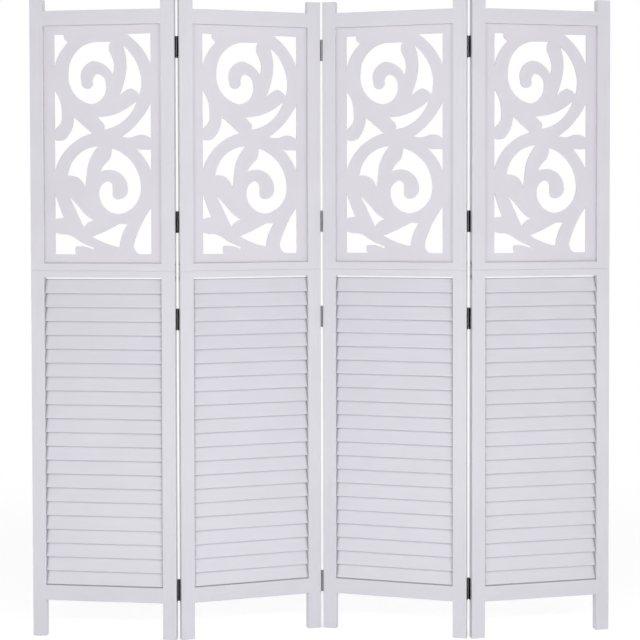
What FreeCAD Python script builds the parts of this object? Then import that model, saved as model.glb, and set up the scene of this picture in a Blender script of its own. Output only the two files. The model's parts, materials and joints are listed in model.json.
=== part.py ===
"""Four-leaf folding screen: fretwork above, fixed louvres below, white-painted softwood on butt hinges.

Every panel is drawn once in its own frame (X along the width from the left edge, Y from the front
face to the rear face, Z up from the floor), then placed four times by turning it about the hinge pins.
"""
import FreeCAD, Part
import math
import os
import re

Vector = FreeCAD.Vector
Rotation = FreeCAD.Rotation
Placement = FreeCAD.Placement

# Driving dimensions, in millimetres and degrees
SIZES = {
    "panel_width": 390.6,
    "panel_thickness": 22.0,
    "lower_height": 980.0,
    "upper_height": 720.0,
    "stile_width": 36.5,
    "stile_horn": 30.0,
    "top_rail_height": 39.0,
    "fret_rail_height": 20.0,
    "louvre_rail_height": 18.0,
    "bottom_rail_height": 41.0,
    "leg_height": 97.0,
    "arris_radius": 1.2,
    "tenon_length": 18.0,
    "tenon_thickness": 8.0,
    "tenon_shoulder": 4.0,
    "tenon_fit": 0.1,
    "mortise_relief": 0.5,
    "groove_wall": 0.5,
    "board_thickness": 4.0,
    "board_groove": 6.0,
    "board_fit": 0.1,
    "board_relief": 0.5,
    "fret_side_border": 28.5,
    "fret_end_border": 24.0,
    "slat_width": 40.0,
    "slat_thickness": 5.5,
    "slat_edge_radius": 2.4,
    "slat_tilt": 20.0,
    "slat_bottom_gap": 0.8,
    "slat_top_gap": 4.5,
    "slat_housing": 6.0,
    "slat_fit": 0.15,
    "slat_relief": 0.5,
    "hinge_gap": 3.8,
    "hinge_height": 57.0,
    "hinge_inset": 129.0,
    "leaf_thickness": 1.2,
    "leaf_reach": 12.0,
    "leaf_corner": 2.0,
    "knuckle_radius": 1.95,
    "knuckle_clearance": 0.3,
    "knuckle_split": 0.3,
    "pin_radius": 0.95,
    "pin_fit": 0.05,
    "pin_stand": 0.8,
    "pin_dome": 0.6,
    "screw_reach": 7.6,
    "screw_spacing": 20.0,
    "screw_length": 14.0,
    "screw_radius": 1.4,
    "screw_head_radius": 2.7,
    "screw_head_height": 1.1,
    "screw_point": 3.0,
    "screw_tip_radius": 0.35,
    "screw_fit": 0.05,
    "pilot_relief": 0.5,
    "cross_length": 3.2,
    "cross_width": 0.8,
    "cross_depth": 0.8,
    "plate_length": 52.0,
    "plate_width": 12.0,
    "plate_thickness": 1.5,
    "plate_corner": 2.5,
    "plate_fit": 0.15,
    "plate_screw_offset": 17.5,
    "dowel_radius": 3.0,
    "dowel_length": 28.0,
    "dowel_inset": 11.0,
    "dowel_fit": 0.05,
    "dowel_relief": 0.5,
    "cut_overrun": 1.0,
    "row_turn": -7.1,
    "fold_1_2": 23.8,
    "fold_2_3": 32.3,
    "fold_3_4": 27.8,
}
NEARLY_NOTHING = 1e-6
SLAT_COUNT = 22
KNUCKLE_COUNT = 5
SCREW_STEPS = (-1, 0, 1)

# Places along the panel that several pieces share, as formulas of the sheet
PANEL_TOP = "(lower_height + upper_height)"
TOP_RAIL_TOP = f"({PANEL_TOP} - stile_horn)"
FRET_TOP = f"({TOP_RAIL_TOP} - top_rail_height)"
FRET_BOTTOM = "(lower_height + fret_rail_height)"
LOUVRE_TOP = "(lower_height - louvre_rail_height)"
OPENING_WIDTH = "(panel_width - 2 * stile_width)"
MID_THICKNESS = "(panel_thickness / 2)"
PIN_OFFSET = "(knuckle_radius + knuckle_clearance)"
GROOVE_SHOULDER = "(board_groove + groove_wall)"
HINGE_PILOT = "(screw_length - leaf_thickness + pilot_relief)"
PLATE_PILOT = "(screw_length + pilot_relief)"

# Scroll cut-outs on a field drawn 260 wide and 583 tall from its lower left corner. A pair of numbers
# is the end of a straight line, and a pair of points is an arc: a point it passes through, then its end.
DRAWN_WIDTH = 260.0
DRAWN_HEIGHT = 583.0
CUTOUTS = {
    "top_left_corner": [(0, 583), (26, 583), (26.5, 571.5), (37, 562), ((12.5, 530.5), (0, 494))],
    "upper_spiral": [
        (153.5, 563), (112, 562.8), ((57, 535.2), (38.2, 482)), ((52, 427.5), (99.5, 398.2)),
        ((125, 408.5), (139.5, 447)), ((133.5, 467.5), (116, 477.8)), ((107.5, 472), (104.5, 456)),
        ((91, 439), (73.5, 457)), ((78, 493.5), (106, 512)), ((139.5, 499), (157.5, 476.5)),
        ((161.3, 492), (161, 507)), ((156.5, 521), (148.9, 537)), ((148, 550), (153.5, 563)),
    ],
    "upper_crescent": [
        (185.5, 552), ((217.5, 515), (234.5, 462)), ((234, 443), (230, 421.5)),
        ((220.5, 431.5), (205.5, 439)), ((190.5, 432), (172.5, 414.5)), ((185, 445), (195, 493)),
        ((193.3, 523), (185.5, 552)),
    ],
    "top_right_corner": [(195, 583), (260, 583), (260, 501), ((232, 549.5), (195, 583))],
    "left_lens": [(0, 435), ((13, 411.5), (19.25, 372)), ((16.3, 350), (0, 333.5))],
    "middle_horn": [
        (116, 363.5), ((172, 374.3), (223, 407)), ((193, 358.5), (140, 332)), (133, 331.8),
        ((134.5, 342.5), (129, 351)),
    ],
    "right_wing": [
        (260, 401), ((223.5, 346.5), (182.5, 311.5)), ((200, 309), (218, 313)), ((238, 316.2), (260, 306)),
    ],
    "left_leaf": [
        (52, 364), (101, 321), ((35, 283), (0, 221)), (0, 305), ((16, 301.3), (33, 310.5)),
        ((44, 327.5), (52, 364)),
    ],
    "lower_crescent": [
        (117, 286), ((65, 266.3), (35.3, 213)), (34, 208.5), ((60, 204.5), (81.5, 171)),
        ((84.3, 199), (88.5, 232)), ((97.5, 257), (117, 286)),
    ],
    "lower_spiral": [
        (154, 280.5), ((205, 248.7), (232, 184)), ((219, 133.3), (174, 106.4)), ((132.5, 125), (119.5, 162)),
        ((125, 181.5), (141, 193.3)), ((152.5, 188.5), (156.4, 176)), (156.4, 161),
        ((163.5, 147.3), (175, 145.7)), ((190, 154), (196.3, 178)), ((183, 208), (150, 224)),
        ((136, 222.7), (122.5, 219.5)), ((132, 235), (146.5, 249.5)), ((152, 262.5), (154, 280.5)),
    ],
    "right_thorn": [
        (216, 283.3), ((224, 278.3), (233, 276.5)), (260, 276.5), (260, 219.5), ((242.5, 253), (216, 283.3)),
    ],
    "left_thorn": [(0, 162), ((10, 130.5), (23, 97)), (9.5, 96), (0, 92.3)],
    "wedge": [(36.5, 156.5), (70, 119.5), ((84.5, 103.3), (105, 90.3)), ((89.5, 84.5), (78, 69.5))],
    "bottom_left_hook": [
        (0, 56.8), (17, 52.3), ((38, 50.5), (53, 43)), (72, 30.3), (100, 18.2), ((104.3, 15), (99.5, 13.3)),
        ((84, 19.2), (66, 21.5)), (58.5, 21), ((55, 18.5), (54, 14)), ((54.5, 7), (56.5, 0)), (0, 0),
    ],
    "bottom_fin": [
        (101, 46), (137, 61), (166, 76), ((174, 79.8), (183, 80.2)), (196, 79.5), ((182, 54), (174, 18.8)),
        (165, 20), ((133, 30), (101, 46)),
    ],
    "bottom_right_drop": [
        (260, 123), ((229.5, 72), (213, 29)), ((214.5, 12), (224, 1.2)), (230, 0), (260, 0),
    ],
}

doc = FreeCAD.newDocument("folding_screen")
sheet = doc.addObject("Spreadsheet::Sheet", "sizes")
for row, (alias, number) in enumerate(SIZES.items(), start=1):
    sheet.set(f"A{row}", alias)
    sheet.set(f"B{row}", str(number))
    sheet.setAlias(f"B{row}", alias)
doc.recompute()


def size(alias):
    """The number in the sheet's cell of that name."""
    return float(sheet.get(alias))


def bind(obj, **formulas):
    """Tie properties of an object to formulas of the sheet's names."""
    for prop, formula in formulas.items():
        text = re.sub(r"[a-z][a-z_0-9]*[a-z0-9]", lambda word: "sizes." + word.group(0), formula)
        obj.setExpression(prop.replace("__", "."), text)


def move(obj, x, y, z, rotation=Rotation()):
    """Turn an object and tie its place to formulas of the sheet's names."""
    obj.Placement = Placement(Vector(), rotation)
    bind(obj, Placement__Base__x=x, Placement__Base__y=y, Placement__Base__z=z)


def block(name, length, width, height, x, y, z):
    """A rectangular block by its three lengths and its lowest corner."""
    obj = doc.addObject("Part::Box", name)
    bind(obj, Length=length, Width=width, Height=height)
    move(obj, x, y, z)
    return obj


ALONG_X = Rotation(Vector(0, 1, 0), 90)
UPRIGHT = Rotation()


def rod(name, radius, height, x, y, z, rotation=UPRIGHT):
    """A round rod by the middle of its first end."""
    obj = doc.addObject("Part::Cylinder", name)
    bind(obj, Radius=radius, Height=height)
    move(obj, x, y, z, rotation)
    return obj


def taper(name, first_radius, last_radius, height, x, y, z, rotation=UPRIGHT):
    """A cone frustum by the middle of its first end."""
    obj = doc.addObject("Part::Cone", name)
    bind(obj, Radius1=first_radius, Radius2=last_radius, Height=height)
    move(obj, x, y, z, rotation)
    return obj


def fuse(name, pieces):
    """Several solids made one."""
    obj = doc.addObject("Part::MultiFuse", name)
    obj.Shapes = pieces
    return obj


def cut(name, base, tools):
    """A solid with the tools' space taken out."""
    obj = doc.addObject("Part::Cut", name)
    obj.Base = base
    obj.Tool = tools[0] if len(tools) == 1 else fuse(name + "_cutters", tools)
    return obj


def soften(name, base, radius, chosen):
    """Round those edges of a solid that a test chooses."""
    doc.recompute()
    numbered = enumerate(base.Shape.Edges, start=1)
    obj = doc.addObject("Part::Fillet", name)
    obj.Base = base
    obj.Edges = [(number, radius, radius) for number, edge in numbered if chosen(edge)]
    return obj


def along_x(edge):
    """Whether an edge runs along X."""
    return edge.tangentAt(edge.FirstParameter).cross(Vector(1, 0, 0)).Length < NEARLY_NOTHING


def off_inner_face(edge):
    """Whether a left stile's edge is clear of the face that the rails meet, which stays sharp."""
    return edge.BoundBox.XMin < size("stile_width") - NEARLY_NOTHING


def leaf_corner(edge):
    """Whether an edge is a corner of a hinge leaf away from the pin."""
    return along_x(edge) and edge.CenterOfMass.y < -size("leaf_reach") / 2


def rim(edge):
    """Whether an edge is a full circle."""
    return edge.isClosed()


def outline(points):
    """Lines and arcs of a closed outline given as in CUTOUTS, in its sketch's plane."""
    pieces = []
    first = points[0]
    here = Vector(*first, 0)
    for step in points[1:] + [first]:
        if isinstance(step[0], tuple):
            through, end = Vector(*step[0], 0), Vector(*step[1], 0)
            pieces.append(Part.ArcOfCircle(here, through, end))
        else:
            end = Vector(*step, 0)
            if here.distanceToPoint(end) > NEARLY_NOTHING:
                pieces.append(Part.LineSegment(here, end))
        here = end
    return pieces


def profile(name, outlines, plane):
    """A sketch that holds closed outlines."""
    sketch = doc.addObject("Sketcher::SketchObject", name)
    sketch.Placement = plane
    for points in outlines:
        sketch.addGeometry(outline(points), False)
    return sketch


def extrude(name, sketch, direction, length):
    """Solids made by sweeping a sketch's outlines straight, outlines inside others being holes."""
    obj = doc.addObject("Part::Extrusion", name)
    obj.Base = sketch
    obj.DirMode = "Custom"
    obj.Dir = direction
    obj.Solid = True
    obj.FaceMakerClass = "Part::FaceMakerBullseye"
    bind(obj, LengthFwd=length)
    return obj


def mirror_panel(name, source):
    """The same piece at the panel's other side."""
    obj = doc.addObject("Part::Mirroring", name)
    obj.Source = source
    obj.Normal = Vector(1, 0, 0)
    bind(obj, Base__x="panel_width / 2")
    return obj


def copy_of(name, sources, placement):
    """Copies of finished pieces, placed."""
    obj = doc.addObject("Part::Compound", name)
    obj.Links = sources
    obj.Placement = placement
    return obj


# Rails: a softened block with one long tenon through it, and a groove where the fretwork board sits


def rail(name, height, z, tenon_low, tenon_high, groove_z=None):
    """A rail between the stiles with its two tenons."""
    blank = block(name + "_blank", OPENING_WIDTH, "panel_thickness", height, "stile_width", "0", z)
    shaped = soften(name + "_soft", blank, size("arris_radius"), along_x)
    tenon = block(
        name + "_tenon", f"{OPENING_WIDTH} + 2 * tenon_length", "tenon_thickness",
        f"{height} - {tenon_low} - {tenon_high}", "stile_width - tenon_length",
        f"{MID_THICKNESS} - tenon_thickness / 2", f"{z} + {tenon_low}",
    )
    whole = fuse(name, [shaped, tenon])
    if groove_z is None:
        return whole
    groove = block(
        name + "_groove", f"{OPENING_WIDTH} + 2 * cut_overrun", "board_thickness + 2 * board_fit",
        "board_groove + cut_overrun", "stile_width - cut_overrun",
        f"{MID_THICKNESS} - board_thickness / 2 - board_fit", groove_z,
    )
    return cut(name + "_grooved", whole, [groove])


def mortise(name, height, z, tenon_low, tenon_high):
    """The space in a left stile that takes one tenon."""
    return block(
        name, "tenon_length + mortise_relief + cut_overrun", "tenon_thickness + 2 * tenon_fit",
        f"{height} - {tenon_low} - {tenon_high} + 2 * tenon_fit",
        "stile_width - tenon_length - mortise_relief", f"{MID_THICKNESS} - tenon_thickness / 2 - tenon_fit",
        f"{z} + {tenon_low} - tenon_fit",
    )


RAILS = {
    "top_rail": ("top_rail_height", FRET_TOP, GROOVE_SHOULDER, "tenon_shoulder"),
    "fret_rail": ("fret_rail_height", "lower_height", "tenon_shoulder", GROOVE_SHOULDER),
    "louvre_rail": ("louvre_rail_height", LOUVRE_TOP, "tenon_shoulder", "tenon_shoulder"),
    "bottom_rail": ("bottom_rail_height", "leg_height", "tenon_shoulder", "tenon_shoulder"),
}
top_rail = rail("top_rail", *RAILS["top_rail"], groove_z=f"{FRET_TOP} - cut_overrun")
fret_rail = rail("fret_rail", *RAILS["fret_rail"], groove_z=f"{FRET_BOTTOM} - board_groove")
louvre_rail = rail("louvre_rail", *RAILS["louvre_rail"])
bottom_rail = rail("bottom_rail", *RAILS["bottom_rail"])

# Fretwork board: a thin board whose scroll field is centred in the opening
fret_bottom = size("lower_height") + size("fret_rail_height")
fret_top = size("lower_height") + size("upper_height") - size("stile_horn") - size("top_rail_height")
board_lap = size("board_groove") - size("board_relief")
board_left = size("stile_width") - board_lap
board_right = size("panel_width") - board_left
board_low = fret_bottom - board_lap
board_high = fret_top + board_lap
field_left = size("stile_width") + size("fret_side_border")
field_low = fret_bottom + size("fret_end_border")
stretch_x = (size("panel_width") - 2 * field_left) / DRAWN_WIDTH
stretch_y = (fret_top - size("fret_end_border") - field_low) / DRAWN_HEIGHT


def on_field(point):
    """A drawn point of the scroll field, placed on the board."""
    return (field_left + point[0] * stretch_x, field_low + point[1] * stretch_y)


def placed_cutout(points):
    """One cut-out's lines and arcs, placed on the board."""
    placed = []
    for step in points:
        is_arc = isinstance(step[0], tuple)
        placed.append((on_field(step[0]), on_field(step[1])) if is_arc else on_field(step))
    return placed


board_edge = [
    (board_left, board_low), (board_right, board_low), (board_right, board_high), (board_left, board_high),
]
board_front = (size("panel_thickness") - size("board_thickness")) / 2
facing = Placement(Vector(0, board_front, 0), Rotation(Vector(1, 0, 0), 90))
board_sketch = profile("fret_outline", [board_edge] + [placed_cutout(c) for c in CUTOUTS.values()], facing)
fret_board = extrude("fret_board", board_sketch, Vector(0, 1, 0), "board_thickness")

# Louvre slats: leaning boards with rounded edges, lower edge to the front, housed in the stiles
lean = math.radians(size("slat_tilt"))
round_part = 2 * size("slat_edge_radius")
slat_rise = (
    (size("slat_width") - round_part) * math.cos(lean)
    + (size("slat_thickness") - round_part) * math.sin(lean)
    + round_part
)
louvre_bottom = size("leg_height") + size("bottom_rail_height")
louvre_top = size("lower_height") - size("louvre_rail_height")
lowest_slat = louvre_bottom + size("slat_bottom_gap") + slat_rise / 2
highest_slat = louvre_top - size("slat_top_gap") - slat_rise / 2
slat_pitch = (highest_slat - lowest_slat) / (SLAT_COUNT - 1)


def slat_section(number, margin):
    """The rounded section of one slat, counted from the bottom, grown by a margin all round."""
    centre_y = size("panel_thickness") / 2
    centre_z = lowest_slat + number * slat_pitch
    radius = size("slat_edge_radius") + margin
    half_wide = size("slat_width") / 2 + margin
    half_thick = size("slat_thickness") / 2 + margin
    diagonal = radius * (1 - math.sqrt(0.5))

    def turned(across, along):
        """A point of the upright section after the lean, which takes the top to the rear."""
        return (
            centre_y + across * math.cos(lean) + along * math.sin(lean),
            centre_z - across * math.sin(lean) + along * math.cos(lean),
        )

    points = [turned(half_thick - radius, half_wide)]
    for side_a, side_b in ((1, 1), (1, -1), (-1, -1), (-1, 1)):
        corner = turned(side_a * (half_thick - diagonal), side_b * (half_wide - diagonal))
        long_end = turned(side_a * half_thick, side_b * (half_wide - radius))
        short_end = turned(side_a * (half_thick - radius), side_b * half_wide)
        if side_a == side_b:
            points += [short_end, (corner, long_end)]
        else:
            points += [long_end, (corner, short_end)]
    return points


def slat_bank(name, margin, x, length):
    """All slats of a panel, or the housings for their ends, side by side in one sketch."""
    sections = [slat_section(number, margin) for number in range(SLAT_COUNT)]
    across_panel = Rotation(Vector(0, 1, 0), Vector(0, 0, 1), Vector(1, 0, 0), "ZXY")
    sketch = profile(name + "_sections", sections, Placement(Vector(x, 0, 0), across_panel))
    return extrude(name, sketch, Vector(1, 0, 0), length)


slat_lap = size("slat_housing") - size("slat_relief")
louvre_slats = slat_bank(
    "louvre_slats", 0.0, size("stile_width") - slat_lap,
    f"{OPENING_WIDTH} + 2 * (slat_housing - slat_relief)",
)
slat_housings = slat_bank(
    "slat_housings", size("slat_fit"), size("stile_width") - size("slat_housing"),
    "slat_housing + cut_overrun",
)

# Stiles: an upper and a lower post for each side, with the edge drilled for hinges at the rear or front
HINGE_EDGES = {
    "free": None,
    "rear": f"panel_thickness + {PIN_OFFSET} - screw_reach",
    "front": f"screw_reach - {PIN_OFFSET}",
}
HINGE_HEIGHTS = {
    "upper": ("lower_height + hinge_inset", f"{PANEL_TOP} - hinge_inset"),
    "lower": ("hinge_inset", "lower_height - hinge_inset"),
}


def pilot(name, depth, y, z):
    """A screw's pilot hole in the left stile's outer edge."""
    return rod(name, "screw_radius + screw_fit", f"{depth} + cut_overrun", "-cut_overrun", y, z, ALONG_X)


def stile(half, edge):
    """A left stile of one half of the panel."""
    name = f"{half}_stile_{edge}"
    is_upper = half == "upper"
    base_z, height = ("lower_height", "upper_height") if is_upper else ("0", "lower_height")
    blank = block(name + "_blank", "stile_width", "panel_thickness", height, "0", "0", base_z)
    shaped = soften(name + "_soft", blank, size("arris_radius"), off_inner_face)
    rails = ("top_rail", "fret_rail") if is_upper else ("louvre_rail", "bottom_rail")
    tools = [mortise(f"{name}_{rail_name}_mortise", *RAILS[rail_name]) for rail_name in rails]
    if is_upper:
        tools.append(block(
            name + "_groove", "board_groove + cut_overrun", "board_thickness + 2 * board_fit",
            f"{FRET_TOP} - {FRET_BOTTOM} + 2 * board_groove", "stile_width - board_groove",
            f"{MID_THICKNESS} - board_thickness / 2 - board_fit", f"{FRET_BOTTOM} - board_groove",
        ))
    else:
        tools.append(slat_housings)
    recess_z = "lower_height - cut_overrun" if is_upper else "lower_height - plate_length / 2 - plate_fit"
    tools.append(block(
        name + "_plate_recess", "plate_thickness + cut_overrun", "plate_width + 2 * plate_fit",
        "plate_length / 2 + plate_fit + cut_overrun", "-cut_overrun",
        f"{MID_THICKNESS} - plate_width / 2 - plate_fit", recess_z,
    ))
    sign = "+" if is_upper else "-"
    plate_z = f"lower_height {sign} plate_screw_offset"
    tools.append(pilot(name + "_plate_pilot", PLATE_PILOT, MID_THICKNESS, plate_z))
    dowel_z = "lower_height - cut_overrun" if is_upper else "lower_height - dowel_length / 2 - dowel_relief"
    tools.append(rod(
        name + "_dowel_hole", "dowel_radius + dowel_fit", "dowel_length / 2 + dowel_relief + cut_overrun",
        "dowel_inset", MID_THICKNESS, dowel_z,
    ))
    if HINGE_EDGES[edge]:
        for place, centre in enumerate(HINGE_HEIGHTS[half]):
            for step in SCREW_STEPS:
                pilot_name = f"{name}_pilot_{place}_{step + 1}"
                pilot_z = f"{centre} + {step} * screw_spacing"
                tools.append(pilot(pilot_name, HINGE_PILOT, HINGE_EDGES[edge], pilot_z))
    left = cut(name, shaped, tools)
    return {"left": left, "right": mirror_panel(name + "_mirrored", left)}


STILES = {(half, edge): stile(half, edge) for half in HINGE_HEIGHTS for edge in HINGE_EDGES}

# Hinge: two leaves round one pin, drawn about the pin's axis for a panel at +X whose hinged face is at -Y
KNUCKLE_PITCH = f"(hinge_height / {KNUCKLE_COUNT})"


def countersink(name, x, y, z):
    """The hole for a screw driven along +X, its head flush with x."""
    head = taper(
        name + "_head", "screw_head_radius + screw_fit", "screw_radius + screw_fit", "screw_head_height",
        x, y, z, ALONG_X,
    )
    bore = rod(
        name + "_bore", "screw_radius + screw_fit", "leaf_thickness + plate_thickness + cut_overrun",
        x, y, z, ALONG_X,
    )
    return [head, bore]


def hinge_leaf(name, own_knuckles):
    """A leaf with its own knuckles, cut back round the other leaf's."""
    plate = block(
        name + "_plate", "leaf_thickness", "leaf_reach", "hinge_height",
        "hinge_gap / 2 - leaf_thickness", "-leaf_reach", "-hinge_height / 2",
    )
    rounded = soften(name + "_rounded", plate, size("leaf_corner"), leaf_corner)
    barrels = []
    reliefs = []
    for knuckle in range(KNUCKLE_COUNT):
        low = f"{knuckle} * {KNUCKLE_PITCH} - hinge_height / 2"
        if knuckle in own_knuckles:
            barrels.append(rod(
                f"{name}_knuckle_{knuckle}", "knuckle_radius", f"{KNUCKLE_PITCH} - knuckle_split",
                "0", "0", f"{low} + knuckle_split / 2",
            ))
        else:
            reliefs.append(rod(
                f"{name}_relief_{knuckle}", "knuckle_radius + knuckle_split",
                f"{KNUCKLE_PITCH} + knuckle_split", "0", "0", f"{low} - knuckle_split / 2",
            ))
    bore = rod(
        name + "_pin_bore", "pin_radius + pin_fit", "hinge_height + 2 * cut_overrun", "0", "0",
        "-hinge_height / 2 - cut_overrun",
    )
    holes = []
    for step in SCREW_STEPS:
        holes += countersink(
            f"{name}_hole_{step + 1}", "hinge_gap / 2 - leaf_thickness", "-screw_reach",
            f"{step} * screw_spacing",
        )
    notched = cut(name + "_notched", rounded, reliefs)
    whole = fuse(name + "_whole", [notched] + barrels)
    return cut(name, whole, [bore] + holes)


outer_leaf = hinge_leaf("outer_leaf", range(0, KNUCKLE_COUNT, 2))
inner_leaf = hinge_leaf("inner_leaf", range(1, KNUCKLE_COUNT, 2))
pin_blank = rod(
    "pin_blank", "pin_radius", "hinge_height + 2 * pin_stand", "0", "0", "-hinge_height / 2 - pin_stand"
)
hinge_pin = soften("hinge_pin", pin_blank, size("pin_dome"), rim)

# Countersunk screw driven along +X, its head's face at x = 0
screw_head = taper(
    "screw_head", "screw_head_radius", "screw_radius", "screw_head_height", "0", "0", "0", ALONG_X
)
screw_shank = rod("screw_shank", "screw_radius", "screw_length - screw_point", "0", "0", "0", ALONG_X)
screw_tip = taper(
    "screw_tip", "screw_radius", "screw_tip_radius", "screw_point",
    "screw_length - screw_point", "0", "0", ALONG_X,
)
cross_bars = [
    block("cross_upright", "cross_depth + cut_overrun", "cross_width", "cross_length",
          "-cut_overrun", "-cross_width / 2", "-cross_length / 2"),
    block("cross_level", "cross_depth + cut_overrun", "cross_length", "cross_width",
          "-cut_overrun", "-cross_length / 2", "-cross_width / 2"),
]
screw = cut("screw", fuse("screw_blank", [screw_head, screw_shank, screw_tip]), cross_bars)

# Joining plate across the seam on a stile's edge, and the dowel inside the stile
plate_blank = block(
    "plate_blank", "plate_thickness", "plate_width", "plate_length", "0",
    f"{MID_THICKNESS} - plate_width / 2", "lower_height - plate_length / 2",
)
plate_rounded = soften("plate_rounded", plate_blank, size("plate_corner"), along_x)
plate_holes = []
for sign in ("-", "+"):
    end = "low" if sign == "-" else "high"
    plate_holes += countersink(
        f"plate_hole_{end}", "0", MID_THICKNESS, f"lower_height {sign} plate_screw_offset"
    )
joining_plate = cut("joining_plate", plate_rounded, plate_holes)
dowel = rod(
    "dowel", "dowel_radius", "dowel_length", "dowel_inset", MID_THICKNESS, "lower_height - dowel_length / 2"
)

# Where the four panels stand: turned about the pins from left to right, then centred on the floor
width = size("panel_width")
thickness = size("panel_thickness")
half_gap = size("hinge_gap") / 2
pin_out = size("knuckle_radius") + size("knuckle_clearance")
PIN_REAR = thickness + pin_out
PIN_FRONT = -pin_out
FOLDS = {
    (1, 2): ("fold_1_2", PIN_REAR, 1),
    (2, 3): ("fold_2_3", PIN_FRONT, -1),
    (3, 4): ("fold_3_4", PIN_REAR, 1),
}
PANELS = (1, 2, 3, 4)


def turn(degrees):
    """A turn about the vertical."""
    return Rotation(Vector(0, 0, 1), degrees)


turns = {1: size("row_turn")}
origins = {1: Vector()}
pins = {}
for (left, right), (fold, pin_y, side) in FOLDS.items():
    turns[right] = turns[left] + side * size(fold)
    pins[(left, right)] = origins[left] + turn(turns[left]).multVec(Vector(width + half_gap, pin_y, 0))
    origins[right] = pins[(left, right)] - turn(turns[right]).multVec(Vector(-half_gap, pin_y, 0))

corners = []
for panel in PANELS:
    for x in (0, width):
        for y in (0, thickness):
            corners.append(origins[panel] + turn(turns[panel]).multVec(Vector(x, y, 0)))
middle = Vector(
    (min(c.x for c in corners) + max(c.x for c in corners)) / 2,
    (min(c.y for c in corners) + max(c.y for c in corners)) / 2,
    0,
)
STAND = {panel: Placement(origins[panel] - middle, turn(turns[panel])) for panel in PANELS}
OVER = {
    ("right", "rear"): Rotation(),
    ("right", "front"): Rotation(Vector(1, 0, 0), 180),
    ("left", "rear"): Rotation(Vector(0, 1, 0), 180),
    ("left", "front"): Rotation(Vector(0, 0, 1), 180),
}
TO_RIGHT_EDGE = Rotation(Vector(0, 0, 1), 180)
seam = size("lower_height")
total_height = seam + size("upper_height")
inset = size("hinge_inset")
HINGE_CENTRES = (inset, seam - inset, seam + inset, total_height - inset)
head_x = half_gap - size("leaf_thickness")

# Which edges of each panel are hinged, and to which side their knuckles stand
EDGES = {panel: {"left": "free", "right": "free"} for panel in PANELS}
for (left, right), (fold, pin_y, side) in FOLDS.items():
    knuckle_side = "rear" if pin_y == PIN_REAR else "front"
    EDGES[left]["right"] = knuckle_side
    EDGES[right]["left"] = knuckle_side


def edge_hinges(panel, edge):
    """Leaves and screws on one edge of a panel, in the panel's own frame."""
    knuckle_side = EDGES[panel][edge]
    if knuckle_side == "free":
        return [], []
    role = "left" if edge == "right" else "right"
    master = outer_leaf if role == "left" else inner_leaf
    pin_x = width + half_gap if edge == "right" else -half_gap
    pin_y = PIN_REAR if knuckle_side == "rear" else PIN_FRONT
    leaves = []
    screws = []
    for place, centre in enumerate(HINGE_CENTRES):
        seat = Placement(Vector(pin_x, pin_y, centre), OVER[(role, knuckle_side)])
        tag = f"panel_{panel}_{edge}_{place}"
        leaves.append(copy_of(f"leaf_{tag}", [master], seat))
        for step in SCREW_STEPS:
            spot = Vector(head_x, -size("screw_reach"), step * size("screw_spacing"))
            screws.append(copy_of(f"screw_{tag}_{step + 1}", [screw], seat * Placement(spot, Rotation())))
    return leaves, screws


def plate_screws(panel):
    """The four screws of a panel's joining plates, in the panel's own frame."""
    screws = []
    for step in (-1, 1):
        z = seam + step * size("plate_screw_offset")
        left = Placement(Vector(0, thickness / 2, z), Rotation())
        right = Placement(Vector(width, thickness / 2, z), TO_RIGHT_EDGE)
        screws.append(copy_of(f"plate_screw_{panel}_left_{step + 1}", [screw], left))
        screws.append(copy_of(f"plate_screw_{panel}_right_{step + 1}", [screw], right))
    return screws


right_plate = mirror_panel("right_plate", joining_plate)
right_dowel = mirror_panel("right_dowel", dowel)
SHARED_PIECES = {
    "top_rail": [top_rail],
    "fret_lower_rail": [fret_rail],
    "louvre_top_rail": [louvre_rail],
    "bottom_rail": [bottom_rail],
    "fret_board": [fret_board],
    "louvre_slats": [louvre_slats],
    "joining_plates": [joining_plate, right_plate],
    "dowels": [dowel, right_dowel],
}
nodes = []
for panel in PANELS:
    for half in HINGE_HEIGHTS:
        for edge in ("left", "right"):
            source = STILES[(half, EDGES[panel][edge])][edge]
            nodes.append(copy_of(f"panel_{panel}_{half}_{edge}_stile", [source], STAND[panel]))
    for piece, sources in SHARED_PIECES.items():
        nodes.append(copy_of(f"panel_{panel}_{piece}", sources, STAND[panel]))
    leaves = []
    screws = plate_screws(panel)
    for edge in ("left", "right"):
        edge_leaves, edge_screws = edge_hinges(panel, edge)
        leaves += edge_leaves
        screws += edge_screws
    nodes.append(copy_of(f"panel_{panel}_hinge_leaves", leaves, STAND[panel]))
    nodes.append(copy_of(f"panel_{panel}_screws", screws, STAND[panel]))
for (left, right), pin in pins.items():
    stack = [
        copy_of(f"pin_{left}_{right}_{place}", [hinge_pin], Placement(Vector(0, 0, centre), Rotation()))
        for place, centre in enumerate(HINGE_CENTRES)
    ]
    nodes.append(copy_of(f"hinge_pins_{left}_{right}", stack, Placement(pin - middle, Rotation())))

doc.recompute()
for obj in doc.Objects:
    if "Invalid" in obj.State or "Error" in obj.State:
        raise RuntimeError(f"{obj.Label} did not build: {obj.State}")
os.makedirs("parts", exist_ok=True)
for node in nodes:
    node.Label = node.Name
    if node.Shape.isNull() or not node.Shape.isValid() or not node.Shape.Solids:
        raise RuntimeError(f"{node.Label} is not a sound solid")
for node in nodes:
    node.Shape.exportStep(f"parts/{node.Label}.step")
for (left, right), pin in pins.items():
    spot = pin - middle
    print(f"pin {left}-{right} at x {spot.x:.4f} y {spot.y:.4f}")
print(f"{len(nodes)} nodes, {sum(len(node.Shape.Solids) for node in nodes)} solids")
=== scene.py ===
"""Looks of a white-painted folding screen: paint over wood, dark steel hinges, studio and camera."""

import json
import logging
import math
from dataclasses import dataclass, field
from enum import Enum
from typing import Any

import bmesh
import bpy
from mathutils import Matrix, Vector


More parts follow.
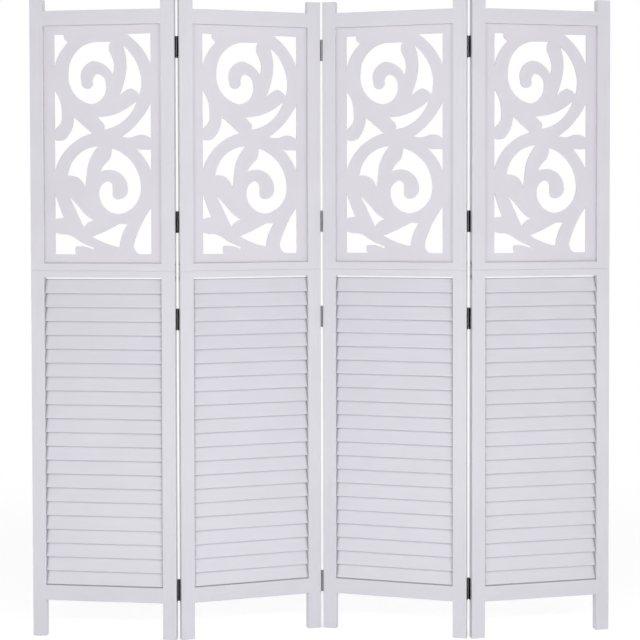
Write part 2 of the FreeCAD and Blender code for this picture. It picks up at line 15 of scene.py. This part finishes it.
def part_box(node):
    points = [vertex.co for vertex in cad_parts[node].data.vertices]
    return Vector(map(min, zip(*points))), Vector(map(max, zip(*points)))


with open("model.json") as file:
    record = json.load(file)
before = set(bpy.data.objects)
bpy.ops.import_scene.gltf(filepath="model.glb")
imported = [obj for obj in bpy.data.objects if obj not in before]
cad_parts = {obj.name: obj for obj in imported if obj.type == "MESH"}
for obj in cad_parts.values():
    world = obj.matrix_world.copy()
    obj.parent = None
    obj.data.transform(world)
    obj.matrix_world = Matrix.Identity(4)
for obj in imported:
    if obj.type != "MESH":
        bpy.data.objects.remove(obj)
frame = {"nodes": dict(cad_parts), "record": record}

LOG = logging.getLogger("folding_screen")
MM = 0.001
PANEL_NUMBERS = (1, 2, 3, 4)
FOLD_NAMES = ("1_2", "2_3", "3_4")
IMAGE_SIDE_PX = 640
WHITE = (1.0, 1.0, 1.0, 1.0)

# Sockets of a colour Mix node: its two colours and its result
MIX_LOW, MIX_HIGH, MIX_RESULT = 6, 7, 2

# The sRGB curve: a straight foot up to the knee, and a power above it
SRGB_KNEE, SRGB_SLOPE, SRGB_OFFSET, SRGB_POWER = 0.04045, 12.92, 0.055, 2.4


class Grain(Enum):
    """Which way the wood under the paint runs."""

    UPRIGHT = "upright"
    ACROSS = "across"
    NONE = "none"


def linear(hex_colour: str) -> tuple[float, float, float, float]:
    """Turn an sRGB hex colour into linear light.

    Args:
        hex_colour: Six hex digits after a hash sign.

    Returns:
        Red, green, blue and a full alpha.
    """
    parts = []
    for start in (1, 3, 5):
        share = int(hex_colour[start:start + 2], 16) / 255
        if share <= SRGB_KNEE:
            parts.append(share / SRGB_SLOPE)
        else:
            parts.append(((share + SRGB_OFFSET) / (1 + SRGB_OFFSET)) ** SRGB_POWER)
    return (parts[0], parts[1], parts[2], 1.0)


def add(
    tree: bpy.types.NodeTree, kind: str, inputs: dict[Any, Any] | None = None, **settings: Any
) -> bpy.types.Node:
    """Add a node with its settings and links.

    Args:
        tree: The node tree that gets the node.
        kind: Blender's name for the node's type.
        inputs: For each socket, a value to set or another node's output to link.
        settings: Properties of the node itself.

    Returns:
        The new node.
    """
    node = tree.nodes.new(kind)
    for name, value in settings.items():
        setattr(node, name, value)
    for key, value in (inputs or {}).items():
        if isinstance(value, bpy.types.NodeSocket):
            tree.links.new(value, node.inputs[key])
        else:
            node.inputs[key].default_value = value
    return node


def new_material(name: str) -> tuple[bpy.types.Material, bpy.types.NodeTree]:
    """Make an empty node material.

    Args:
        name: The material's name.

    Returns:
        The material and its node tree.
    """
    material = bpy.data.materials.new(name)
    material.use_nodes = True
    material.node_tree.nodes.clear()
    return material, material.node_tree


@dataclass(frozen=True)
class PaintedWood:
    """Sprayed satin white paint over wood: grain shows as a faint relief, and painted shade greys the
    creases.
    """

    name: str
    grain: Grain
    turn_deg: float = 0.0
    paint: str = "#dad8df"
    thin_paint: str = "#d5d3da"
    thin_span: tuple[float, float] = (0.15, 0.42)
    crease_shade: str = "#d0ced6"
    crease_reach_mm: float = 1.5
    crease_span: tuple[float, float] = (0.1, 0.75)
    crease_samples: int = 8
    grain_width_mm: float = 1.6
    grain_length_mm: float = 90.0
    grain_detail: float = 3.0
    patch_mm: float = 140.0
    patch_detail: float = 2.0
    spray_mm: float = 1.1
    spray_detail: float = 1.0
    relief_mm: float = 0.05
    relief_strength: float = 0.5
    skin_mm: float = 0.02
    skin_strength: float = 0.25
    roughness: float = 0.36
    roughness_spread: tuple[float, float] = (-0.05, 0.07)
    ior: float = 1.5

    def grain_scale(self) -> tuple[float, float, float]:
        """Give the grain's stretch.

        Returns:
            Waves to a metre along the panel, through it and up it.
        """
        across = 1 / (self.grain_width_mm * MM)
        along = 1 / (self.grain_length_mm * MM)
        if self.grain is Grain.UPRIGHT:
            return (across, across, along)
        if self.grain is Grain.ACROSS:
            return (along, across, across)
        return (1 / (self.spray_mm * MM),) * 3

    def material(self) -> bpy.types.Material:
        """Build the paint.

        Returns:
            The finished material.
        """
        # Spray paint: an even, cool white with a soft sheen, a shade greyer where the coat is thin.
        # Grain and spray are drawn coarser than real ones, or they would not show.
        material, tree = new_material(self.name)
        place = add(tree, "ShaderNodeTexCoord").outputs["Object"]
        along = add(tree, "ShaderNodeMapping", {
            "Vector": place, "Rotation": (0, 0, -math.radians(self.turn_deg)),
        })
        stretched = add(tree, "ShaderNodeMapping", {
            "Vector": along.outputs[0], "Scale": self.grain_scale(),
        })
        grain = add(tree, "ShaderNodeTexNoise", {
            "Vector": stretched.outputs[0], "Scale": 1.0, "Detail": self.grain_detail,
        })
        patches = add(tree, "ShaderNodeTexNoise", {
            "Vector": place, "Scale": 1 / (self.patch_mm * MM), "Detail": self.patch_detail,
        })
        spray = add(tree, "ShaderNodeTexNoise", {
            "Vector": place, "Scale": 1 / (self.spray_mm * MM), "Detail": self.spray_detail,
        })
        blend = add(tree, "ShaderNodeMath", {
            0: grain.outputs[0], 1: patches.outputs[0],
        }, operation="MULTIPLY")
        thick = add(tree, "ShaderNodeMapRange", {
            "Value": blend.outputs[0], "From Min": self.thin_span[0], "From Max": self.thin_span[1],
        })
        coat = add(tree, "ShaderNodeMix", {
            "Factor": thick.outputs[0], MIX_LOW: linear(self.thin_paint), MIX_HIGH: linear(self.paint),
        }, data_type="RGBA")
        # Painted shade: the coat is mixed towards a darker colour where ambient occlusion finds nearby
        # surfaces.
        shut = add(tree, "ShaderNodeAmbientOcclusion", {
            "Distance": self.crease_reach_mm * MM,
        }, samples=self.crease_samples)
        open_share = add(tree, "ShaderNodeMapRange", {
            "Value": shut.outputs["AO"], "From Min": self.crease_span[0], "From Max": self.crease_span[1],
        })
        crease_shaded_coat = add(tree, "ShaderNodeMix", {
            "Factor": open_share.outputs[0], MIX_LOW: linear(self.crease_shade), MIX_HIGH: coat.outputs[MIX_RESULT],
        }, data_type="RGBA")
        rough = add(tree, "ShaderNodeMapRange", {
            "Value": patches.outputs[0],
            "To Min": self.roughness + self.roughness_spread[0],
            "To Max": self.roughness + self.roughness_spread[1],
        })
        skin = add(tree, "ShaderNodeBump", {
            "Height": spray.outputs[0], "Strength": self.skin_strength, "Distance": self.skin_mm * MM,
        })
        relief = add(tree, "ShaderNodeBump", {
            "Height": grain.outputs[0], "Strength": self.relief_strength,
            "Distance": self.relief_mm * MM, "Normal": skin.outputs[0],
        })
        shader = add(tree, "ShaderNodeBsdfPrincipled", {
            "Base Color": crease_shaded_coat.outputs[MIX_RESULT], "Roughness": rough.outputs[0],
            "Normal": relief.outputs[0], "IOR": self.ior,
        })
        add(tree, "ShaderNodeOutputMaterial", {"Surface": shader.outputs[0]})
        return material


@dataclass(frozen=True)
class DressedSteel:
    """A thin-skinned steel: blackened or zinc-plated, with fine drawn scratches, rubbed high spots and a
    painted highlight on the knuckles.
    """

    name: str
    colour: str
    rubbed_and_highlight: str
    roughness: float
    edge: str = "#ffffff"
    pins: tuple[Vector, ...] = ()
    knuckle_highlight_span_mm: tuple[float, float] = (2.0, 2.5)
    mottle_mm: float = 5.0
    mottle_detail: float = 3.0
    rubbed_span: tuple[float, float] = (0.5, 0.75)
    scratch_mm: float = 0.35
    scratch_length_mm: float = 18.0
    scratch_detail: float = 2.0
    scratch_depth_mm: float = 0.02
    scratch_strength: float = 0.3
    roughness_spread: tuple[float, float] = (-0.08, 0.12)

    def material(self) -> bpy.types.Material:
        """Build the steel.

        Returns:
            The finished material.
        """
        # Dipped or plated sheet: a dull, narrow gleam along the drawing marks, and lighter bare metal at
        # random high spots.
        # The knuckles round each pin get the lighter colour too: a painted highlight on the barrel. The marks
        # are drawn coarser than real.
        material, tree = new_material(self.name)
        place = add(tree, "ShaderNodeTexCoord").outputs["Object"]
        fine = 1 / (self.scratch_mm * MM)
        drawn = add(tree, "ShaderNodeMapping", {
            "Vector": place, "Scale": (fine, fine, 1 / (self.scratch_length_mm * MM)),
        })
        scratches = add(tree, "ShaderNodeTexNoise", {
            "Vector": drawn.outputs[0], "Scale": 1.0, "Detail": self.scratch_detail,
        })
        mottle = add(tree, "ShaderNodeTexNoise", {
            "Vector": place, "Scale": 1 / (self.mottle_mm * MM), "Detail": self.mottle_detail,
        })
        share = add(tree, "ShaderNodeMapRange", {
            "Value": mottle.outputs[0], "From Min": self.rubbed_span[0], "From Max": self.rubbed_span[1],
        }).outputs[0]
        # Painted highlight: lighter steel on the knuckles round each pin.
        for pin in self.pins:
            share = self.knuckle_highlight_share(tree, place, pin, share)
        colour = add(tree, "ShaderNodeMix", {
            "Factor": share, MIX_LOW: linear(self.colour), MIX_HIGH: linear(self.rubbed_and_highlight),
        }, data_type="RGBA")
        rough = add(tree, "ShaderNodeMapRange", {
            "Value": scratches.outputs[0],
            "To Min": self.roughness + self.roughness_spread[0],
            "To Max": self.roughness + self.roughness_spread[1],
        })
        relief = add(tree, "ShaderNodeBump", {
            "Height": scratches.outputs[0], "Strength": self.scratch_strength,
            "Distance": self.scratch_depth_mm * MM,
        })
        shader = add(tree, "ShaderNodeBsdfPrincipled", {
            "Base Color": colour.outputs[MIX_RESULT], "Metallic": 1.0, "Roughness": rough.outputs[0],
            "Normal": relief.outputs[0], "Specular Tint": linear(self.edge),
        })
        add(tree, "ShaderNodeOutputMaterial", {"Surface": shader.outputs[0]})
        return material

    def knuckle_highlight_share(
        self, tree: bpy.types.NodeTree, place: bpy.types.NodeSocket, pin: Vector, share: bpy.types.NodeSocket
    ) -> bpy.types.NodeSocket:
        """Paint the knuckles round an upright pin lighter: a painted highlight on the barrel.

        Args:
            tree: The steel's node tree.
            place: The point's place on the object.
            pin: A point on the pin's axis.
            share: How far the steel is lightened so far, by rubbing and painted highlight.

        Returns:
            How far the steel is lightened with this painted highlight on the knuckles.
        """
        aside = add(tree, "ShaderNodeVectorMath", {
            0: place, 1: (pin.x, pin.y, 0.0),
        }, operation="SUBTRACT")
        level = add(tree, "ShaderNodeVectorMath", {
            0: aside.outputs[0], 1: (1.0, 1.0, 0.0),
        }, operation="MULTIPLY")
        reach = add(tree, "ShaderNodeVectorMath", {0: level.outputs[0]}, operation="LENGTH")
        turned = add(tree, "ShaderNodeMapRange", {
            "Value": reach.outputs["Value"],
            "From Min": self.knuckle_highlight_span_mm[0] * MM, "From Max": self.knuckle_highlight_span_mm[1] * MM,
            "To Min": 1.0, "To Max": 0.0,
        })
        return add(tree, "ShaderNodeMath", {0: share, 1: turned.outputs[0]}, operation="MAXIMUM").outputs[0]


@dataclass(frozen=True)
class BareBeech:
    """Turned beech with no finish: pale brown with short dark flecks along the dowel."""

    name: str = "bare_beech"
    light: str = "#d8b88e"
    dark: str = "#b98f62"
    fleck_mm: float = 0.6
    fleck_length_mm: float = 6.0
    fleck_detail: float = 3.0
    fleck_depth_mm: float = 0.05
    fleck_strength: float = 0.4
    roughness: float = 0.7

    def material(self) -> bpy.types.Material:
        """Build the wood.

        Returns:
            The finished material.
        """
        # Raw turned wood: dull and warm, with flecks that run along the dowel.
        material, tree = new_material(self.name)
        place = add(tree, "ShaderNodeTexCoord").outputs["Object"]
        fine = 1 / (self.fleck_mm * MM)
        drawn = add(tree, "ShaderNodeMapping", {
            "Vector": place, "Scale": (fine, fine, 1 / (self.fleck_length_mm * MM)),
        })
        flecks = add(tree, "ShaderNodeTexNoise", {
            "Vector": drawn.outputs[0], "Scale": 1.0, "Detail": self.fleck_detail,
        })
        colour = add(tree, "ShaderNodeMix", {
            "Factor": flecks.outputs[0], MIX_LOW: linear(self.dark), MIX_HIGH: linear(self.light),
        }, data_type="RGBA")
        relief = add(tree, "ShaderNodeBump", {
            "Height": flecks.outputs[0], "Strength": self.fleck_strength,
            "Distance": self.fleck_depth_mm * MM,
        })
        shader = add(tree, "ShaderNodeBsdfPrincipled", {
            "Base Color": colour.outputs[MIX_RESULT], "Roughness": self.roughness,
            "Normal": relief.outputs[0],
        })
        add(tree, "ShaderNodeOutputMaterial", {"Surface": shader.outputs[0]})
        return material


def dress(node: str, material: bpy.types.Material) -> None:
    """Give a CAD node one material.

    Args:
        node: The node's name.
        material: What it gets.
    """
    piece = frame["nodes"][node]
    piece.data.materials.clear()
    piece.data.materials.append(material)
    LOG.info("dressed %s with %s", node, material.name)


@dataclass
class Panel:
    """One panel: painted posts and rails, a fretwork board, louvre slats and small steel fittings."""

    number: int
    uprights: tuple[str, ...] = (
        "upper_left_stile", "upper_right_stile", "lower_left_stile", "lower_right_stile",
    )
    rails: tuple[str, ...] = ("top_rail", "fret_lower_rail", "louvre_top_rail", "bottom_rail")

    def node(self, piece: str) -> str:
        """The CAD node of one of the panel's pieces."""
        return f"panel_{self.number}_{piece}"

    def middle(self, piece: str) -> Vector:
        """The middle of one of the panel's pieces."""
        low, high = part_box(self.node(piece))
        return (low + high) / 2

    def turn_deg(self) -> float:
        """How far the panel is turned about the vertical."""
        across = self.middle("lower_right_stile") - self.middle("lower_left_stile")
        return math.degrees(math.atan2(across.y, across.x))

    def dress(
        self, upright: bpy.types.Material, board: bpy.types.Material,
        fittings: dict[str, bpy.types.Material],
    ) -> None:
        """Give every piece of the panel its finish.

        Args:
            upright: Paint over upright grain.
            board: Paint over the fretwork board.
            fittings: A finish for each kind of small fitting.
        """
        turn = self.turn_deg()
        across = PaintedWood(f"painted_wood_across_{self.number}", Grain.ACROSS, turn).material()
        # Painted shade between the slats: a much darker colour, reaching 8 mm, darkens each slat under the
        # one above
        # Painted light: the slats' paint is a shade lighter than the frame's, standing in for the brighter
        # light on them.
        slats = PaintedWood(
            f"painted_slats_{self.number}", Grain.ACROSS, turn, paint="#dcdae1", thin_paint="#d8d6dd",
            crease_shade="#6f6d75", crease_reach_mm=8.0, crease_span=(0.4, 0.95),
        ).material()
        for piece in self.uprights:
            dress(self.node(piece), upright)
        for piece in self.rails:
            dress(self.node(piece), across)
        dress(self.node("fret_board"), board)
        dress(self.node("louvre_slats"), slats)
        for piece, material in fittings.items():
            dress(self.node(piece), material)


@dataclass
class Fold:
    """The pins of the hinges between two panels."""

    name: str

    def dress(self, steel: bpy.types.Material) -> None:
        """Give the pins the finish of the hinges."""
        dress(f"hinge_pins_{self.name}", steel)


@dataclass(frozen=True)
class Softbox:
    """A long soft lamp."""

    name: str
    place_m: tuple[float, float, float]
    width_m: float
    height_m: float
    watts: float

    def hang(self, aim: Vector) -> None:
        """Hang the lamp, turned to a point.

        Args:
            aim: The point that it faces.
        """
        lamp = bpy.data.lights.new(self.name, "AREA")
        lamp.shape = "RECTANGLE"
        lamp.size = self.width_m
        lamp.size_y = self.height_m
        lamp.energy = self.watts
        holder = bpy.data.objects.new(self.name, lamp)
        holder.location = self.place_m
        holder.rotation_mode = "QUATERNION"
        holder.rotation_quaternion = (aim - Vector(self.place_m)).to_track_quat("-Z", "Y")
        bpy.context.scene.collection.objects.link(holder)


@dataclass
class Studio:
    """A white room: floor, soft lamps, white background and the camera of the photograph.

    The spans of the walls and the ceiling are parts of the heading from the room's middle.
    """

    floor_side_m: float = 60.0
    floor_colour: str = "#f6f6f7"
    floor_light: float = 0.57
    shadow_share: float = 0.85
    shadow_fade_m: tuple[float, float] = (0.9, 2.6)
    camera_place_mm: tuple[float, float, float] = (-125.5, -3825.1, 1153.2)
    focal_px: float = 1427.9
    axis_px: tuple[float, float] = (275.0, 240.0)
    pitch_deg: float = 1.40
    roll_deg: float = -0.16
    sensor_mm: float = 36.0
    view_reach_m: float = 100.0
    backdrop_level: float = 1.0
    wall_level: float = 0.3
    side_wall_level: float = 1.05
    side_wall_span: tuple[float, float] = (0.2, 0.6)
    rear_wall_level: float = 1.45
    rear_wall_span: tuple[float, float] = (-0.3, 0.6)
    ceiling_level: float = 0.23
    ceiling_span: tuple[float, float] = (0.3, 0.75)
    lamps: tuple[Softbox, ...] = (
        Softbox("long_softbox", place_m=(0.2, -3.2, 1.98), width_m=4.8, height_m=0.25, watts=36.0),
        Softbox("low_fill", place_m=(0.1, -3.0, 0.12), width_m=5.0, height_m=0.3, watts=32.0),
    )
    aim: Vector = field(default_factory=lambda: Vector((0.0, 0.0, -0.4)))

    def floor(self) -> None:
        """Lay the pale floor, which the camera sees as white with the object's shadow."""
        mesh = bmesh.new()
        bmesh.ops.create_grid(mesh, x_segments=1, y_segments=1, size=self.floor_side_m / 2)
        data = bpy.data.meshes.new("studio_floor")
        mesh.to_mesh(data)
        mesh.free()
        piece = bpy.data.objects.new("studio_floor", data)
        bpy.context.scene.collection.objects.link(piece)
        data.materials.append(self.floor_material())

    def floor_material(self) -> bpy.types.Material:
        """Build the floor's white.

        Returns:
            A matte white that light bounces off, and that the camera sees with a glow of its own.
        """
        material, tree = new_material("studio_floor_white")
        path = add(tree, "ShaderNodeLightPath")
        matte = add(tree, "ShaderNodeBsdfDiffuse", {"Color": linear(self.floor_colour)})
        place = add(tree, "ShaderNodeTexCoord").outputs["Object"]
        reach = add(tree, "ShaderNodeVectorMath", {0: place}, operation="LENGTH")
        near = add(tree, "ShaderNodeMapRange", {
            "Value": reach.outputs["Value"],
            "From Min": self.shadow_fade_m[0], "From Max": self.shadow_fade_m[1],
            "To Min": self.shadow_share, "To Max": 0.0,
        }, interpolation_type="SMOOTHSTEP")
        rest = add(tree, "ShaderNodeMapRange", {
            "Value": near.outputs[0], "To Min": self.backdrop_level, "To Max": 1.0 - self.floor_light,
        })
        shade = add(tree, "ShaderNodeBsdfDiffuse", {"Color": near.outputs[0]})
        glow = add(tree, "ShaderNodeEmission", {"Color": WHITE, "Strength": rest.outputs[0]})
        seen = add(tree, "ShaderNodeAddShader", {0: glow.outputs[0], 1: shade.outputs[0]})
        shown = add(tree, "ShaderNodeMath", {
            0: path.outputs["Is Camera Ray"], 1: path.outputs["Is Glossy Ray"],
        }, operation="MAXIMUM")
        surface = add(tree, "ShaderNodeMixShader", {
            "Fac": shown.outputs[0], 1: matte.outputs[0], 2: seen.outputs[0],
        })
        add(tree, "ShaderNodeOutputMaterial", {"Surface": surface.outputs[0]})
        return material

    def background(self) -> None:
        """Make the world white to the eye and a plain soft light to the object."""
        world = bpy.data.worlds.new("white_room")
        bpy.context.scene.world = world
        world.use_nodes = True
        tree = world.node_tree
        tree.nodes.clear()
        path = add(tree, "ShaderNodeLightPath")
        mirrored = add(tree, "ShaderNodeMath", {
            0: path.outputs["Is Glossy Ray"], 1: path.outputs["Is Transmission Ray"],
        }, operation="MAXIMUM")
        heading = add(tree, "ShaderNodeSeparateXYZ", {
            0: add(tree, "ShaderNodeTexCoord").outputs["Generated"],
        })
        aside = add(tree, "ShaderNodeMath", {0: heading.outputs["X"]}, operation="ABSOLUTE")
        front = add(tree, "ShaderNodeMapRange", {
            "Value": aside.outputs[0],
            "From Min": self.side_wall_span[0], "From Max": self.side_wall_span[1],
            "To Min": self.wall_level, "To Max": self.side_wall_level,
        }, interpolation_type="SMOOTHSTEP")
        walls = add(tree, "ShaderNodeMapRange", {
            "Value": heading.outputs["Y"],
            "From Min": self.rear_wall_span[0], "From Max": self.rear_wall_span[1],
            "To Min": front.outputs[0], "To Max": self.rear_wall_level,
        }, interpolation_type="SMOOTHSTEP")
        room = add(tree, "ShaderNodeMapRange", {
            "Value": heading.outputs["Z"],
            "From Min": self.ceiling_span[0], "From Max": self.ceiling_span[1],
            "To Min": walls.outputs[0], "To Max": self.ceiling_level,
        }, interpolation_type="SMOOTHSTEP")
        lit = add(tree, "ShaderNodeMapRange", {
            "Value": mirrored.outputs[0], "To Min": room.outputs[0], "To Max": self.backdrop_level,
        })
        level = add(tree, "ShaderNodeMapRange", {
            "Value": path.outputs["Is Camera Ray"], "To Min": lit.outputs[0], "To Max": self.backdrop_level,
        })
        light = add(tree, "ShaderNodeBackground", {"Color": WHITE, "Strength": level.outputs[0]})
        add(tree, "ShaderNodeOutputWorld", {"Surface": light.outputs[0]})

    def camera(self) -> None:
        """Set the camera where the photograph was taken from, with its axis off the picture's middle."""
        data = bpy.data.cameras.new("photograph_camera")
        data.sensor_width = self.sensor_mm
        data.lens = self.focal_px * self.sensor_mm / IMAGE_SIDE_PX
        data.shift_x = 0.5 - self.axis_px[0] / IMAGE_SIDE_PX
        data.shift_y = self.axis_px[1] / IMAGE_SIDE_PX - 0.5
        data.clip_end = self.view_reach_m
        holder = bpy.data.objects.new("photograph_camera", data)
        upright = Matrix.Rotation(math.radians(90 - self.pitch_deg), 4, "X")
        holder.matrix_world = (
            Matrix.Translation(Vector(self.camera_place_mm) * MM) @ upright
            @ Matrix.Rotation(math.radians(self.roll_deg), 4, "Z")
        )
        bpy.context.scene.collection.objects.link(holder)
        bpy.context.scene.camera = holder

    def build(self) -> None:
        """Set up the whole studio."""
        self.floor()
        self.background()
        for lamp in self.lamps:
            lamp.hang(self.aim)
        self.camera()
        bpy.context.scene.view_settings.view_transform = "Standard"


def main() -> None:
    """Dress every panel and fold, then set up the studio."""
    logging.basicConfig(level=logging.INFO, format="%(name)s: %(message)s")
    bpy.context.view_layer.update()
    pins = tuple(Vector(joint["pos_m"]) for joint in frame["record"]["behaviour"]["joints"])
    # The knuckles round the pins get the lighter colour: a painted highlight on the hinge barrels.
    hinge_steel = DressedSteel(
        "blackened_steel", colour="#080809", rubbed_and_highlight="#8a888c", roughness=0.36, edge="#121213", pins=pins,
    ).material()
    screw_steel = DressedSteel(
        "blackened_screw_steel", colour="#2f2d31", rubbed_and_highlight="#4b494d", roughness=0.34, edge="#58585a",
    ).material()
    plate_zinc = DressedSteel(
        "zinc_plated_steel", colour="#b9babd", rubbed_and_highlight="#cfd0d2", roughness=0.36, mottle_mm=8.0,
    ).material()
    fittings = {
        "hinge_leaves": hinge_steel,
        "screws": screw_steel,
        "joining_plates": plate_zinc,
        "dowels": BareBeech().material(),
    }
    upright = PaintedWood("painted_wood_upright", Grain.UPRIGHT).material()
    board = PaintedWood(
        "painted_fretwork_board", Grain.NONE, paint="#dad7df", thin_paint="#d6d3db",
    ).material()
    for number in PANEL_NUMBERS:
        Panel(number).dress(upright, board, fittings)
    for name in FOLD_NAMES:
        Fold(name).dress(hinge_steel)
    Studio().build()


if __name__ == "__main__":
    main()
